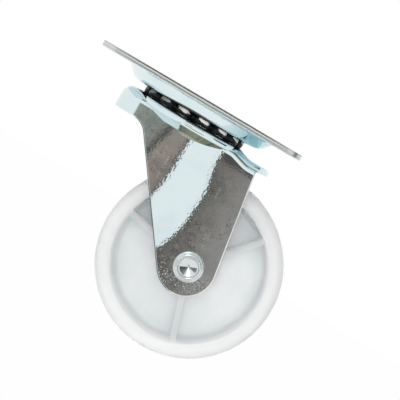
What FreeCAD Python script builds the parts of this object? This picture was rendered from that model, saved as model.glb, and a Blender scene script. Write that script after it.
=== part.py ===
import FreeCAD, Part
import math
import os
import Sketcher

# Plate swivel castor with a 50 mm wheel, millimetres.
# Origin: centre of the plate's mounting face. +Z up along the swivel axis, +X toward the trailing wheel,
# +Y along the axle. The fork points its nose to -X and its wheel trails to +X.

doc = FreeCAD.newDocument("plate_swivel_castor")

# Driving sizes: name, value, what it measures. Drops are depths below the mounting face.
SIZES = [
    ("plate_sheet", 1.5, "thickness of the top plate"),
    ("plate_side", 57.4, "side of the square top plate"),
    ("plate_corner", 4.0, "corner radius of the top plate"),
    ("plate_edge", 0.3, "rolled edge of the plate's underside"),
    ("hole_margin", 6.7, "middle of a mounting hole from the plate's sides"),
    ("hole_radius", 2.75, "radius of a mounting hole"),
    ("dish_drop", 4.8, "underside of the dish below the mounting face"),
    ("dish_mouth_radius", 22.2, "sharp corner of the dish at the plate's underside"),
    ("dish_lean", 3.2, "how far the dish wall leans in on its way down"),
    ("dish_wall", 2.005, "thickness of that wall, measured level"),
    ("dish_foot_bend", 3.2, "bend radius at the dish floor, outside"),
    ("dish_mouth_bend", 2.0, "bend radius at the dish mouth, outside"),
    ("dish_hollow_bend", 1.7, "bend radius at the dish floor, inside"),
    ("upper_ball_radius", 2.58, "ball of the upper ring"),
    ("upper_ring_radius", 12.5, "circle of the upper balls' centres"),
    ("upper_ring_drop", 5.75, "height of the upper balls' centres"),
    ("upper_swell", 1.45, "sheet behind the upper races"),
    ("lower_ball_radius", 1.75, "ball of the lower ring"),
    ("lower_ring_radius", 6.84, "circle of the lower balls' centres"),
    ("lower_ring_drop", 9.1, "height of the lower balls' centres"),
    ("lower_swell", 1.3, "sheet above the lower race in the crown"),
    ("race_play", 0.05, "ball to race clearance"),
    ("pin_head_radius", 6.0, "kingpin head in the dish"),
    ("pin_head_height", 2.2, "height of the kingpin head"),
    ("pin_head_round", 1.2, "rounding of the kingpin head"),
    ("pin_spigot_radius", 3.0, "kingpin ends through plate and cup"),
    ("pin_shoulder_radius", 4.2, "kingpin between plate and cup"),
    ("pin_swage_radius", 4.3, "kingpin head riveted over below the cup"),
    ("pin_swage_height", 1.8, "height of the riveted head"),
    ("pin_swage_round", 0.9, "rounding of the riveted head"),
    ("pin_fit", 0.05, "clearance round the kingpin ends"),
    ("cup_floor_drop", 9.9, "top of the cup's flat middle"),
    ("cup_sheet", 1.2, "thickness of the lower race cup"),
    ("crown_drop", 6.6, "top of the fork's crown"),
    ("crown_radius", 17.3, "round crown"),
    ("crown_rim_drop", 8.6, "lower corner of the crown's rim"),
    ("crown_foot_radius", 12.0, "where the crown's shoulder meets the legs"),
    ("crown_foot_drop", 11.2, "foot of the crown's shoulder"),
    ("crown_round", 1.3, "rolled rim of the crown"),
    ("crown_foot_round", 1.0, "lower corner of the crown's rim"),
    ("crown_step", 0.1, "rim below the crown's drop behind"),
    ("crown_hole_radius", 4.9, "hole of the crown round the kingpin"),
    ("fork_sheet", 1.4, "thickness of the fork"),
    ("fork_half_width", 12.0, "outer face of a leg from the middle plane"),
    ("fork_bend", 2.8, "bend radius of crown into legs, outside"),
    ("fork_edge", 0.35, "rolled outer edge of the legs"),
    ("nose_front", 19.6, "front of the nose ahead of the swivel axis"),
    ("nose_drop", 13.35, "lower edge of the nose"),
    ("nose_corner", 5.9, "plan radius of the nose's corners"),
    ("nose_leg_x", 10.95, "corner of the nose's lower edge and the leg, ahead of the swivel axis"),
    ("nose_leg_bend", 5.3, "radius of that corner"),
    ("lip_slope_start", 12.03, "where the crown's drop to the lip would start, above the crown"),
    ("lip_slope_end", 18.6, "end of the crown's drop behind"),
    ("lip_drop", 8.0, "top of the rear lip"),
    ("lip_tip", 25.0, "tip of the lip"),
    ("lip_plan_radius", 21.8, "plan radius of the lip's edge"),
    ("lip_foot", 9.75, "lowest part of the lip"),
    ("lip_bend", 6.0, "radius of the lip's bends"),
    ("lip_edge", 1.3, "rolled edge of the lip"),
    ("leg_rear_x", 21.3, "rear edge of a leg under the lip"),
    ("trail", 18.7, "axle behind the swivel axis"),
    ("axle_drop", 40.0, "axle below the mounting face"),
    ("leg_end_radius", 7.9, "round end of a leg"),
    ("leg_end_ahead", 0.45, "centre of the leg's end ahead of the axle"),
    ("leg_end_below", 0.15, "centre of the leg's end below the axle"),
    ("axle_radius", 3.0, "shank of the axle rivet"),
    ("axle_fit", 0.05, "clearance round the axle rivet"),
    ("swage_radius", 4.09, "riveted end of the axle"),
    ("swage_height", 1.2, "height of the riveted end over the leg"),
    ("swage_round", 0.7, "rounding of the riveted end"),
    ("cone_radius", 2.4, "mouth of the conical dimple"),
    ("cone_depth", 1.5, "depth of the conical dimple"),
    ("head_radius", 4.6, "made head of the axle, far side"),
    ("head_height", 1.6, "height of the made head"),
    ("head_round", 1.2, "rounding of the made head"),
    ("bush_radius", 4.0, "outside of the axle bush"),
    ("wheel_radius", 25.0, "tread of the wheel"),
    ("wheel_side_gap", 1.6, "side of the wheel from the inside of a leg"),
    ("wheel_shoulder", 3.0, "rounding of the tread's shoulders"),
    ("rim_wall", 4.17, "thickness of the rim at its mouth"),
    ("rim_draft", 0.63, "how much thicker the rim is at the web"),
    ("rim_lip_round", 0.5, "rounding of the rim's inner edge"),
    ("web_half", 1.4, "half thickness of the web"),
    ("web_round", 1.2, "rounding where the web meets rim and hub"),
    ("hub_radius", 7.2, "outside of the hub"),
    ("hub_side_gap", 0.35, "end of the hub from the inside of a leg"),
    ("hub_bore_play", 0.1, "clearance of the hub on the bush"),
    ("rib_thickness", 1.7, "thickness of a rib"),
    ("rib_set_back", 2.0, "edge of a rib in from the side of the wheel"),
    ("rib_angle", 48.0, "first rib, turned from +X up toward +Z, degrees"),
]
UPPER_BALLS = 15
LOWER_BALLS = 12
UPPER_START = 12.0
LOWER_START = 15.0
size = {name: value for name, value, note in SIZES}


def write_sheet():
    sheet = doc.addObject("Spreadsheet::Sheet", "sizes")
    for row, (name, value, note) in enumerate(SIZES, start=1):
        sheet.set("A%d" % row, name)
        sheet.set("B%d" % row, str(value))
        sheet.setAlias("B%d" % row, name)
        sheet.set("C%d" % row, note)
    doc.recompute()
    return sheet


def plane_of(body, role):
    for feature in body.Origin.OriginFeatures:
        if feature.Role == role:
            return feature


def new_sketch(body, name, role, lift=None):
    # lift: expression for the sketch plane's height along its normal
    sketch = body.newObject("Sketcher::SketchObject", name)
    sketch.AttachmentSupport = [(plane_of(body, role), "")]
    sketch.MapMode = "FlatFace"
    if lift:
        sketch.setExpression("AttachmentOffset.Base.z", lift)
    return sketch


def hold(sketch, kind, where, expression, start):
    # a dimension of the sketch, tied to the sheet; start is its value before the first solve
    index = sketch.addConstraint(Sketcher.Constraint(kind, *where, start))
    sketch.setExpression("Constraints[%d]" % index, expression)


def place_point(sketch, geometry, end, x_expression, y_expression, guess):
    hold(sketch, "DistanceX", (-1, 1, geometry, end), x_expression, guess[0])
    hold(sketch, "DistanceY", (-1, 1, geometry, end), y_expression, guess[1])


def polygon(sketch, corners):
    # corners: (x expression, y expression); each corner is held from the sketch's origin
    count = len(corners)
    turn = 2 * math.pi / count
    guesses = [(30 * math.cos(turn * k), 30 * math.sin(turn * k)) for k in range(count)]
    for k in range(count):
        here = FreeCAD.Vector(*guesses[k], 0)
        there = FreeCAD.Vector(*guesses[(k + 1) % count], 0)
        sketch.addGeometry(Part.LineSegment(here, there), False)
    for k in range(count):
        sketch.addConstraint(Sketcher.Constraint("Coincident", k, 2, (k + 1) % count, 1))
    for k in range(count):
        place_point(sketch, k, 1, corners[k][0], corners[k][1], guesses[k])


def circle(sketch, x_expression, y_expression, radius_expression, guess):
    centre = FreeCAD.Vector(guess[0], guess[1], 0)
    geometry = sketch.addGeometry(Part.Circle(centre, FreeCAD.Vector(0, 0, 1), guess[2]), False)
    place_point(sketch, geometry, 3, x_expression, y_expression, guess)
    hold(sketch, "Radius", (geometry,), radius_expression, guess[2])


def ring_segment(sketch, centre, radius_expression, chord_expression, guess, above):
    # part of a ring's round section, cut off by a level chord and kept above or below it
    x, y, radius, chord = guess
    half = math.sqrt(radius ** 2 - (chord - y) ** 2)
    angle = math.atan2(chord - y, half)
    start, end = (angle, math.pi - angle) if above else (math.pi - angle, 2 * math.pi + angle)
    whole = Part.Circle(FreeCAD.Vector(x, y, 0), FreeCAD.Vector(0, 0, 1), radius)
    arc = sketch.addGeometry(Part.ArcOfCircle(whole, start, end), False)
    line = sketch.addGeometry(
        Part.LineSegment(FreeCAD.Vector(x - half, chord, 0), FreeCAD.Vector(x + half, chord, 0)), False)
    first, last = (1, 2) if above else (2, 1)
    sketch.addConstraint(Sketcher.Constraint("Coincident", arc, last, line, 1))
    sketch.addConstraint(Sketcher.Constraint("Coincident", arc, first, line, 2))
    sketch.addConstraint(Sketcher.Constraint("Horizontal", line))
    place_point(sketch, arc, 3, centre[0], centre[1], (x, y))
    hold(sketch, "Radius", (arc,), radius_expression, radius)
    hold(sketch, "DistanceY", (-1, 1, line, 1), chord_expression, chord)


def turned(body, kind, name, sketch):
    feature = body.newObject("PartDesign::" + kind, name)
    feature.Profile = sketch
    feature.ReferenceAxis = (sketch, ["V_Axis"])
    feature.Angle = 360
    sketch.Visibility = False
    return feature


def pad(body, name, sketch, length_expression, reverse=False, symmetric=False):
    feature = body.newObject("PartDesign::Pad", name)
    feature.Profile = sketch
    feature.setExpression("Length", length_expression)
    feature.Reversed = reverse
    if symmetric:
        feature.SideType = "Symmetric"
    return feature


def pocket_through(body, name, sketch):
    feature = body.newObject("PartDesign::Pocket", name)
    feature.Profile = sketch
    feature.Type = "Length"
    feature.Length = 200
    feature.SideType = "Symmetric"
    return feature


def rounded(body, name, base, radius_expression, wanted):
    # fillet on every edge of the base that passes the test
    doc.recompute()
    edges = base.Shape.Edges
    names = ["Edge%d" % (k + 1) for k in range(len(edges)) if wanted(edges[k])]
    if not names:
        raise RuntimeError(name + ": no edge found")
    feature = body.newObject("PartDesign::Fillet", name)
    feature.Base = (base, names)
    feature.setExpression("Radius", radius_expression)
    return feature


def ring_edge(edge, radius, height):
    # a whole circle round the Z axis with this radius and height
    curve = edge.Curve
    if not isinstance(curve, Part.Circle):
        return False
    level = abs(edge.BoundBox.ZMin - height) < 0.02 and abs(edge.BoundBox.ZMax - height) < 0.02
    return level and abs(curve.Radius - radius) < 0.02 and edge.Closed


def wheel_edge(edge, radius, station):
    # a circle round the Y axis with this radius, at this distance from the middle plane on either side
    curve = edge.Curve
    if not isinstance(curve, Part.Circle):
        return False
    level = abs(abs(edge.BoundBox.YMin) - station) < 0.02 and edge.BoundBox.YLength < 0.02
    return level and abs(curve.Radius - radius) < 0.02


def new_body(label):
    body = doc.addObject("PartDesign::Body", label)
    body.Label = label
    return body


def build_top_plate():
    body = new_body("top_plate")
    outline = new_sketch(body, "plate_outline", "XY_Plane")
    half = "sizes.plate_side / 2"
    polygon(outline, [("-" + half, "-" + half), (half, "-" + half), (half, half), ("-" + half, half)])
    blank = pad(body, "plate_blank", outline, "sizes.plate_sheet", reverse=True)
    corners = rounded(body, "plate_corners", blank, "sizes.plate_corner",
                      lambda edge: edge.BoundBox.ZLength > 1 and edge.BoundBox.XLength < 0.01)
    low = -size["plate_sheet"]
    edges = rounded(body, "plate_edges", corners, "sizes.plate_edge",
                    lambda edge: abs(edge.BoundBox.ZMax - low) < 0.01)

    # the wall leans at one angle inside and out, so its upper and lower corners follow from the mouth
    foot_out = "sizes.dish_mouth_radius - sizes.dish_lean"
    rise = "sizes.dish_lean * sizes.plate_sheet / (sizes.dish_drop - sizes.plate_sheet) - sizes.dish_wall"
    foot_in = foot_out + " + " + rise
    mouth_in = "sizes.dish_mouth_radius + " + rise
    foot_radius = size["dish_mouth_radius"] - size["dish_lean"]
    risen = size["dish_lean"] * size["plate_sheet"] / (size["dish_drop"] - size["plate_sheet"])
    hollow_foot = foot_radius + risen - size["dish_wall"]
    hollow_mouth = size["dish_mouth_radius"] + risen - size["dish_wall"]
    dish = new_sketch(body, "dish_section", "XZ_Plane")
    polygon(dish, [
        ("0", "-sizes.dish_drop"),
        (foot_out, "-sizes.dish_drop"),
        ("sizes.dish_mouth_radius", "-sizes.plate_sheet"),
        ("sizes.dish_mouth_radius", "-sizes.plate_sheet / 2"),
        ("0", "-sizes.plate_sheet / 2"),
    ])
    pressed = turned(body, "Revolution", "dish", dish)
    drop = size["dish_drop"]
    foot = rounded(body, "dish_foot", pressed, "sizes.dish_foot_bend",
                   lambda edge: ring_edge(edge, foot_radius, -drop))
    mouth = rounded(body, "dish_mouth", foot, "sizes.dish_mouth_bend",
                    lambda edge: ring_edge(edge, size["dish_mouth_radius"], low))

    hollow = new_sketch(body, "dish_hollow_section", "XZ_Plane")
    floor = "-sizes.dish_drop + sizes.plate_sheet"
    polygon(hollow, [
        ("0", "sizes.plate_sheet"),
        (mouth_in, "sizes.plate_sheet"),
        (mouth_in, "0"),
        (foot_in, floor),
        ("0", floor),
    ])
    scooped = turned(body, "Groove", "dish_hollow", hollow)
    inner_foot = rounded(body, "dish_hollow_foot_bend", scooped, "sizes.dish_hollow_bend",
                         lambda edge: ring_edge(edge, hollow_foot, -drop + size["plate_sheet"]))
    rounded(body, "dish_hollow_mouth_bend", inner_foot, "sizes.dish_mouth_bend",
            lambda edge: ring_edge(edge, hollow_mouth, 0.0))

    # the race is pressed up into the dish floor, its back stands up inside the dish
    swell = new_sketch(body, "race_back_section", "XZ_Plane")
    centre = ("sizes.upper_ring_radius", "-sizes.upper_ring_drop")
    back_radius = size["upper_ball_radius"] + size["race_play"] + size["upper_swell"]
    ring_segment(swell, centre, "sizes.upper_ball_radius + sizes.race_play + sizes.upper_swell",
                 "-sizes.dish_drop + sizes.plate_sheet / 2",
                 (size["upper_ring_radius"], -size["upper_ring_drop"], back_radius,
                  -drop + size["plate_sheet"] / 2), True)
    turned(body, "Revolution", "race_back", swell)
    race = new_sketch(body, "race_section", "XZ_Plane")
    circle(race, centre[0], centre[1], "sizes.upper_ball_radius + sizes.race_play",
           (size["upper_ring_radius"], -size["upper_ring_drop"], size["upper_ball_radius"]))
    turned(body, "Groove", "race", race)

    pin_hole = new_sketch(body, "pin_hole_outline", "XY_Plane")
    circle(pin_hole, "0", "0", "sizes.pin_spigot_radius + sizes.pin_fit", (0, 0, 3))
    pocket_through(body, "pin_hole", pin_hole)
    mounting = new_sketch(body, "mounting_hole_outline", "XY_Plane")
    hole_at = "sizes.plate_side / 2 - sizes.hole_margin"
    circle(mounting, hole_at, hole_at, "sizes.hole_radius", (22, 22, 2.75))
    hole = pocket_through(body, "mounting_hole", mounting)
    holes = body.newObject("PartDesign::PolarPattern", "mounting_holes")
    holes.Originals = [hole]
    holes.Axis = (mounting, ["N_Axis"])
    holes.Angle = 360
    holes.Occurrences = 4
    body.Tip = holes
    return body


def build_kingpin():
    body = new_body("kingpin")
    section = new_sketch(body, "kingpin_section", "XZ_Plane")
    seat = "-sizes.dish_drop + sizes.plate_sheet"
    swage = "-sizes.cup_floor_drop - sizes.cup_sheet"
    polygon(section, [
        ("0", seat + " + sizes.pin_head_height"),
        ("sizes.pin_head_radius", seat + " + sizes.pin_head_height"),
        ("sizes.pin_head_radius", seat),
        ("sizes.pin_spigot_radius", seat),
        ("sizes.pin_spigot_radius", "-sizes.dish_drop"),
        ("sizes.pin_shoulder_radius", "-sizes.dish_drop"),
        ("sizes.pin_shoulder_radius", "-sizes.cup_floor_drop"),
        ("sizes.pin_spigot_radius", "-sizes.cup_floor_drop"),
        ("sizes.pin_spigot_radius", swage),
        ("sizes.pin_swage_radius", swage),
        ("sizes.pin_swage_radius", swage + " - sizes.pin_swage_height"),
        ("0", swage + " - sizes.pin_swage_height"),
    ])
    shape = turned(body, "Revolution", "kingpin_turned", section)
    top = -size["dish_drop"] + size["plate_sheet"] + size["pin_head_height"]
    end = -size["cup_floor_drop"] - size["cup_sheet"] - size["pin_swage_height"]
    head = rounded(body, "pin_head_round", shape, "sizes.pin_head_round",
                   lambda edge: ring_edge(edge, size["pin_head_radius"], top))
    rounded(body, "pin_swage_round", head, "sizes.pin_swage_round",
            lambda edge: ring_edge(edge, size["pin_swage_radius"], end))
    return body


def build_lower_race_cup():
    body = new_body("lower_race_cup")
    middle = new_sketch(body, "cup_middle_section", "XZ_Plane")
    polygon(middle, [
        ("0", "-sizes.cup_floor_drop"),
        ("sizes.lower_ring_radius - sizes.lower_ball_radius", "-sizes.cup_floor_drop"),
        ("sizes.lower_ring_radius - sizes.lower_ball_radius", "-sizes.cup_floor_drop - sizes.cup_sheet"),
        ("0", "-sizes.cup_floor_drop - sizes.cup_sheet"),
    ])
    turned(body, "Revolution", "cup_middle", middle)
    ring = new_sketch(body, "cup_ring_section", "XZ_Plane")
    centre = ("sizes.lower_ring_radius", "-sizes.lower_ring_drop")
    radius = size["lower_ball_radius"] + size["race_play"] + size["cup_sheet"]
    ring_segment(ring, centre, "sizes.lower_ball_radius + sizes.race_play + sizes.cup_sheet",
                 "-sizes.cup_floor_drop",
                 (size["lower_ring_radius"], -size["lower_ring_drop"], radius, -size["cup_floor_drop"]), False)
    turned(body, "Revolution", "cup_ring", ring)
    race = new_sketch(body, "cup_race_section", "XZ_Plane")
    circle(race, centre[0], centre[1], "sizes.lower_ball_radius + sizes.race_play",
           (size["lower_ring_radius"], -size["lower_ring_drop"], size["lower_ball_radius"]))
    turned(body, "Groove", "cup_race", race)
    hole = new_sketch(body, "cup_hole_outline", "XY_Plane")
    circle(hole, "0", "0", "sizes.pin_spigot_radius + sizes.pin_fit", (0, 0, 3))
    pocket_through(body, "cup_hole", hole)
    return body


def build_balls(prefix, count, start, ring, drop, radius):
    # ball centres on a circle: x = ring cos a, y = ring sin a, first angle taken from straight ahead of -Y
    balls = []
    for k in range(count):
        angle = 270.0 + start + 360.0 * k / count
        ball = doc.addObject("Part::Sphere", "%s_%02d" % (prefix, k + 1))
        ball.Label = "%s_%02d" % (prefix, k + 1)
        ball.setExpression("Radius", "sizes." + radius)
        ball.setExpression("Placement.Base.x", "sizes.%s * cos(%.4f deg)" % (ring, angle))
        ball.setExpression("Placement.Base.y", "sizes.%s * sin(%.4f deg)" % (ring, angle))
        ball.setExpression("Placement.Base.z", "-sizes." + drop)
        balls.append(ball)
    return balls


def channel_outline(sketch, front, half_width, corner, rear, guess):
    # plan of the channel: straight sides, two round corners at the nose, open behind
    x, y, r, back = guess
    v = FreeCAD.Vector
    lines = [
        (v(back, -y, 0), v(-x + r, -y, 0)),
        (v(-x, -y + r, 0), v(-x, y - r, 0)),
        (v(-x + r, y, 0), v(back, y, 0)),
        (v(back, y, 0), v(back, -y, 0)),
    ]
    near, nose, far, end = [sketch.addGeometry(Part.LineSegment(a, b), False) for a, b in lines]
    lower_round = Part.Circle(v(-x + r, -y + r, 0), v(0, 0, 1), r)
    upper_round = Part.Circle(v(-x + r, y - r, 0), v(0, 0, 1), r)
    low = sketch.addGeometry(Part.ArcOfCircle(lower_round, math.pi, 1.5 * math.pi), False)
    high = sketch.addGeometry(Part.ArcOfCircle(upper_round, 0.5 * math.pi, math.pi), False)
    join = Sketcher.Constraint
    sketch.addConstraint(join("Tangent", near, 2, low, 2))
    sketch.addConstraint(join("Tangent", low, 1, nose, 1))
    sketch.addConstraint(join("Tangent", nose, 2, high, 2))
    sketch.addConstraint(join("Tangent", high, 1, far, 1))
    sketch.addConstraint(join("Coincident", far, 2, end, 1))
    sketch.addConstraint(join("Coincident", end, 2, near, 1))
    sketch.addConstraint(join("Horizontal", near))
    sketch.addConstraint(join("Horizontal", far))
    sketch.addConstraint(join("Vertical", nose))
    sketch.addConstraint(join("Vertical", end))
    place_point(sketch, near, 1, rear, "-(%s)" % half_width, (back, -y))
    hold(sketch, "DistanceY", (-1, 1, far, 2), half_width, y)
    hold(sketch, "DistanceX", (-1, 1, nose, 1), "-(%s)" % front, -x)
    hold(sketch, "Radius", (low,), corner, r)
    hold(sketch, "Radius", (high,), corner, r)


def channel_blank(body, label, top, front, half_width, corner, guess):
    # crown, nose and legs start as one block with the channel's plan
    plan = new_sketch(body, label + "_plan", "XY_Plane", "-(%s)" % top)
    channel_outline(plan, front, half_width, corner, "30", guess)
    return pad(body, label + "_block", plan, "sizes.axle_drop + sizes.wheel_radius", reverse=True)


def side_outline(sketch):
    # what the fork keeps, seen along the axle: nose, leg with its round end, lip; the rest is cut away
    v = FreeCAD.Vector
    end_x = size["trail"] - size["leg_end_ahead"]
    end_z = -size["axle_drop"] - size["leg_end_below"]
    r = size["leg_end_radius"]
    corners = [
        ("-28", "-sizes.crown_drop + 0.6"),
        ("sizes.lip_slope_start", "-sizes.crown_drop + 0.6"),
        ("sizes.lip_slope_end", "-sizes.lip_drop"),
        ("28", "-sizes.lip_drop"),
        ("28", "-sizes.lip_foot"),
        ("sizes.leg_rear_x", "-sizes.lip_foot"),
    ]
    guesses = [(-28, -6), (12, -6), (18.6, -8), (28, -8), (28, -9.9), (21.3, -9.9)]
    tail = [(end_x + 0.985 * r, end_z + 0.15 * r), (end_x - 0.8 * r, end_z - 0.6 * r), (-10.95, -13.35),
            (-28, -13.35)]
    points = [v(x, z, 0) for x, z in guesses + tail]
    last = len(guesses) - 1
    for k in range(last):
        sketch.addGeometry(Part.LineSegment(points[k], points[k + 1]), False)
    rear = sketch.addGeometry(Part.LineSegment(points[last], points[last + 1]), False)
    whole = Part.Circle(v(end_x, end_z, 0), v(0, 0, 1), r)
    start = math.atan2(-0.6, -0.8)
    arc = sketch.addGeometry(Part.ArcOfCircle(whole, start, math.asin(0.15)), False)
    front = sketch.addGeometry(Part.LineSegment(points[last + 2], points[last + 3]), False)
    foot = sketch.addGeometry(Part.LineSegment(points[last + 3], points[last + 4]), False)
    close = sketch.addGeometry(Part.LineSegment(points[last + 4], points[0]), False)
    join = Sketcher.Constraint
    for k in range(last):
        sketch.addConstraint(join("Coincident", k, 2, k + 1, 1))
    sketch.addConstraint(join("Tangent", rear, 2, arc, 2))
    sketch.addConstraint(join("Tangent", arc, 1, front, 1))
    sketch.addConstraint(join("Coincident", front, 2, foot, 1))
    sketch.addConstraint(join("Coincident", foot, 2, close, 1))
    sketch.addConstraint(join("Coincident", close, 2, 0, 1))
    for k, corner in enumerate(corners):
        place_point(sketch, k, 1, corner[0], corner[1], guesses[k])
    place_point(sketch, arc, 3, "sizes.trail - sizes.leg_end_ahead", "-sizes.axle_drop - sizes.leg_end_below",
                (end_x, end_z))
    hold(sketch, "Radius", (arc,), "sizes.leg_end_radius", r)
    place_point(sketch, front, 2, "-sizes.nose_leg_x", "-sizes.nose_drop", tail[2])
    place_point(sketch, foot, 2, "-28", "-sizes.nose_drop", tail[3])


def frame_outline(sketch, first):
    # large square round the kept outline, so that the pocket takes everything between the two
    v = FreeCAD.Vector
    square = [(-60, 30), (60, 30), (60, -80), (-60, -80)]
    for k in range(4):
        sketch.addGeometry(Part.LineSegment(v(*square[k], 0), v(*square[(k + 1) % 4], 0)), False)
    for k in range(4):
        sketch.addConstraint(Sketcher.Constraint("Coincident", first + k, 2, first + (k + 1) % 4, 1))
    for k in range(4):
        place_point(sketch, first + k, 1, str(square[k][0]), str(square[k][1]), square[k])


def lip_end_section(sketch):
    # section of what is cut away behind the lip, turned about an upright axis ahead of it; the corner
    # arc leaves the lip's upper edge rolled over
    v = FreeCAD.Vector
    tip, top, foot, r = size["lip_tip"], -size["lip_drop"], -size["lip_foot"], size["lip_edge"]
    axis = tip - size["lip_plan_radius"]
    corners = [(tip, top - r), (tip, foot), (34, foot), (34, -4), (tip - r, -4), (tip - r, top)]
    for k in range(5):
        sketch.addGeometry(Part.LineSegment(v(*corners[k], 0), v(*corners[k + 1], 0)), False)
    whole = Part.Circle(v(tip - r, top - r, 0), v(0, 0, 1), r)
    arc = sketch.addGeometry(Part.ArcOfCircle(whole, 0, math.pi / 2), False)
    line = sketch.addGeometry(Part.LineSegment(v(axis, 0, 0), v(axis, 10, 0)), True)
    join = Sketcher.Constraint
    for k in range(4):
        sketch.addConstraint(join("Coincident", k, 2, k + 1, 1))
    sketch.addConstraint(join("Coincident", 4, 2, arc, 2))
    sketch.addConstraint(join("Tangent", arc, 1, 0, 1))
    sketch.addConstraint(join("Vertical", 0))
    sketch.addConstraint(join("Horizontal", 1))
    sketch.addConstraint(join("Vertical", 2))
    sketch.addConstraint(join("Horizontal", 3))
    sketch.addConstraint(join("Vertical", 4))
    place_point(sketch, arc, 3, "sizes.lip_tip - sizes.lip_edge", "-sizes.lip_drop - sizes.lip_edge + 0.03",
                (tip - r, top - r))
    hold(sketch, "Radius", (arc,), "sizes.lip_edge", r)
    hold(sketch, "DistanceY", (-1, 1, 0, 2), "-sizes.lip_foot", foot)
    place_point(sketch, 2, 2, "34", "-4", (34, -4))
    place_point(sketch, line, 1, "sizes.lip_tip - sizes.lip_plan_radius", "0", (axis, 0))
    place_point(sketch, line, 2, "sizes.lip_tip - sizes.lip_plan_radius", "10", (axis, 10))


def cross_edge(edge, x, z):
    # a straight edge across the fork, near this point of the side view
    box = edge.BoundBox
    straight = box.YLength > 5 and box.XLength < 0.05 and box.ZLength < 0.05
    return straight and abs(box.XMin - x) < 0.4 and abs(box.ZMin - z) < 0.4


def build_fork_outside():
    body = new_body("fork_outside")
    channel_blank(body, "outside", "sizes.crown_drop", "sizes.nose_front", "sizes.fork_half_width",
                  "sizes.nose_corner", (20.1, 12.0, 6.3, 30))
    side = new_sketch(body, "side_view", "XZ_Plane")
    side_outline(side)
    frame_outline(side, side.GeometryCount)
    cut = pocket_through(body, "side_cut", side)
    nose_leg = rounded(body, "nose_leg_bend", cut, "sizes.nose_leg_bend",
                       lambda edge: cross_edge(edge, -size["nose_leg_x"], -size["nose_drop"]))
    slope = (size["lip_slope_end"] - size["lip_slope_start"]) / (size["lip_drop"] - size["crown_drop"] + 0.6)
    start = size["lip_slope_start"] + 0.6 * slope
    lip = rounded(body, "lip_bend", nose_leg, "sizes.lip_bend",
                  lambda edge: cross_edge(edge, size["lip_slope_end"], -size["lip_drop"])
                  or cross_edge(edge, start, -size["crown_drop"]))
    y = size["fork_half_width"]

    def crown_edge(edge):
        # the rim of the crown's top: the long sides, the lip's ends and the nose
        box = edge.BoundBox
        on_side = abs(abs(box.YMin) - y) < 0.01 and box.YLength < 0.01 and box.ZMin > -size["lip_drop"] - 0.2
        on_nose = abs(box.ZMax + size["crown_drop"]) < 0.01 and box.ZLength < 0.01 and box.XMax < -5
        return (on_side and box.ZLength < box.XLength and box.ZMax > -1.125 * size["lip_drop"]) or on_nose

    rounded(body, "fork_bend", lip, "sizes.fork_bend", crown_edge)
    end = new_sketch(body, "lip_end_section", "XZ_Plane")
    lip_end_section(end)
    trimmed = body.newObject("PartDesign::Groove", "lip_end")
    trimmed.Profile = end
    trimmed.ReferenceAxis = (end, ["Axis0"])
    trimmed.Angle = 90
    trimmed.Midplane = True

    def leg_edge(edge):
        # the outline of a leg on its outer face, below the bend
        box = edge.BoundBox
        on_face = abs(abs(box.YMin) - y) < 0.01 and box.YLength < 0.01
        return on_face and box.ZMax < 0.25 - size["lip_foot"] and box.XMax > 0.6 * size["nose_corner"] - size["nose_front"]

    rounded(body, "fork_edge", trimmed, "sizes.fork_edge", leg_edge)
    return body


def build_fork_hollow():
    body = new_body("fork_hollow")
    channel_blank(body, "hollow", "sizes.crown_drop + sizes.fork_sheet",
                  "sizes.nose_front - sizes.fork_sheet", "sizes.fork_half_width - sizes.fork_sheet",
                  "sizes.nose_corner - sizes.fork_sheet", (18.7, 10.6, 4.9, 30))
    ceiling = new_sketch(body, "lip_underside", "XZ_Plane")
    polygon(ceiling, [
        ("sizes.lip_slope_start - 0.3", "-sizes.crown_drop + 0.6 - sizes.fork_sheet"),
        ("sizes.lip_slope_end - 0.3", "-sizes.lip_drop - sizes.fork_sheet"),
        ("40", "-sizes.lip_drop - 0.8 - sizes.fork_sheet"),
        ("40", "10"),
        ("sizes.lip_slope_start - 0.3", "10"),
    ])
    cut = pocket_through(body, "lip_ceiling", ceiling)
    y = size["fork_half_width"] - size["fork_sheet"]

    def ceiling_edge(edge):
        box = edge.BoundBox
        low = size["lip_drop"] + size["fork_sheet"] + 2
        on_side = abs(abs(box.YMin) - y) < 0.01 and box.YLength < 0.01 and box.ZMin > -low
        level = size["crown_drop"] + size["fork_sheet"]
        on_nose = abs(box.ZMax + level) < 0.01 and box.ZLength < 0.01 and box.XMax < -5
        return (on_side and box.ZLength < box.XLength and box.XMax < 41) or on_nose

    rounded(body, "hollow_bend", cut, "sizes.fork_bend - sizes.fork_sheet", ceiling_edge)
    return body


def build_crown_cap():
    body = new_body("crown_cap")
    section = new_sketch(body, "crown_section", "XZ_Plane")
    polygon(section, [
        ("0", "-sizes.crown_drop"),
        ("sizes.crown_radius", "-sizes.crown_drop"),
        ("sizes.crown_radius", "-sizes.crown_rim_drop"),
        ("sizes.crown_foot_radius", "-sizes.crown_foot_drop"),
        ("0", "-sizes.crown_foot_drop"),
    ])
    cap = turned(body, "Revolution", "crown_turned", section)
    top = rounded(body, "crown_rim_top", cap, "sizes.crown_round",
                  lambda edge: ring_edge(edge, size["crown_radius"], -size["crown_drop"]))
    rounded(body, "crown_rim_foot", top, "sizes.crown_foot_round",
            lambda edge: ring_edge(edge, size["crown_radius"], -size["crown_rim_drop"]))
    # behind, the rim follows the crown's drop to the lip, a little below it
    slope = new_sketch(body, "crown_slope", "XZ_Plane")
    polygon(slope, [
        ("sizes.lip_slope_start", "-sizes.crown_drop + 0.6 - sizes.crown_step"),
        ("sizes.lip_slope_end", "-sizes.lip_drop - sizes.crown_step"),
        ("30", "-sizes.lip_drop - sizes.crown_step"),
        ("30", "0"),
        ("sizes.lip_slope_start", "0"),
    ])
    pocket_through(body, "crown_slope_cut", slope)
    return body


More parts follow.
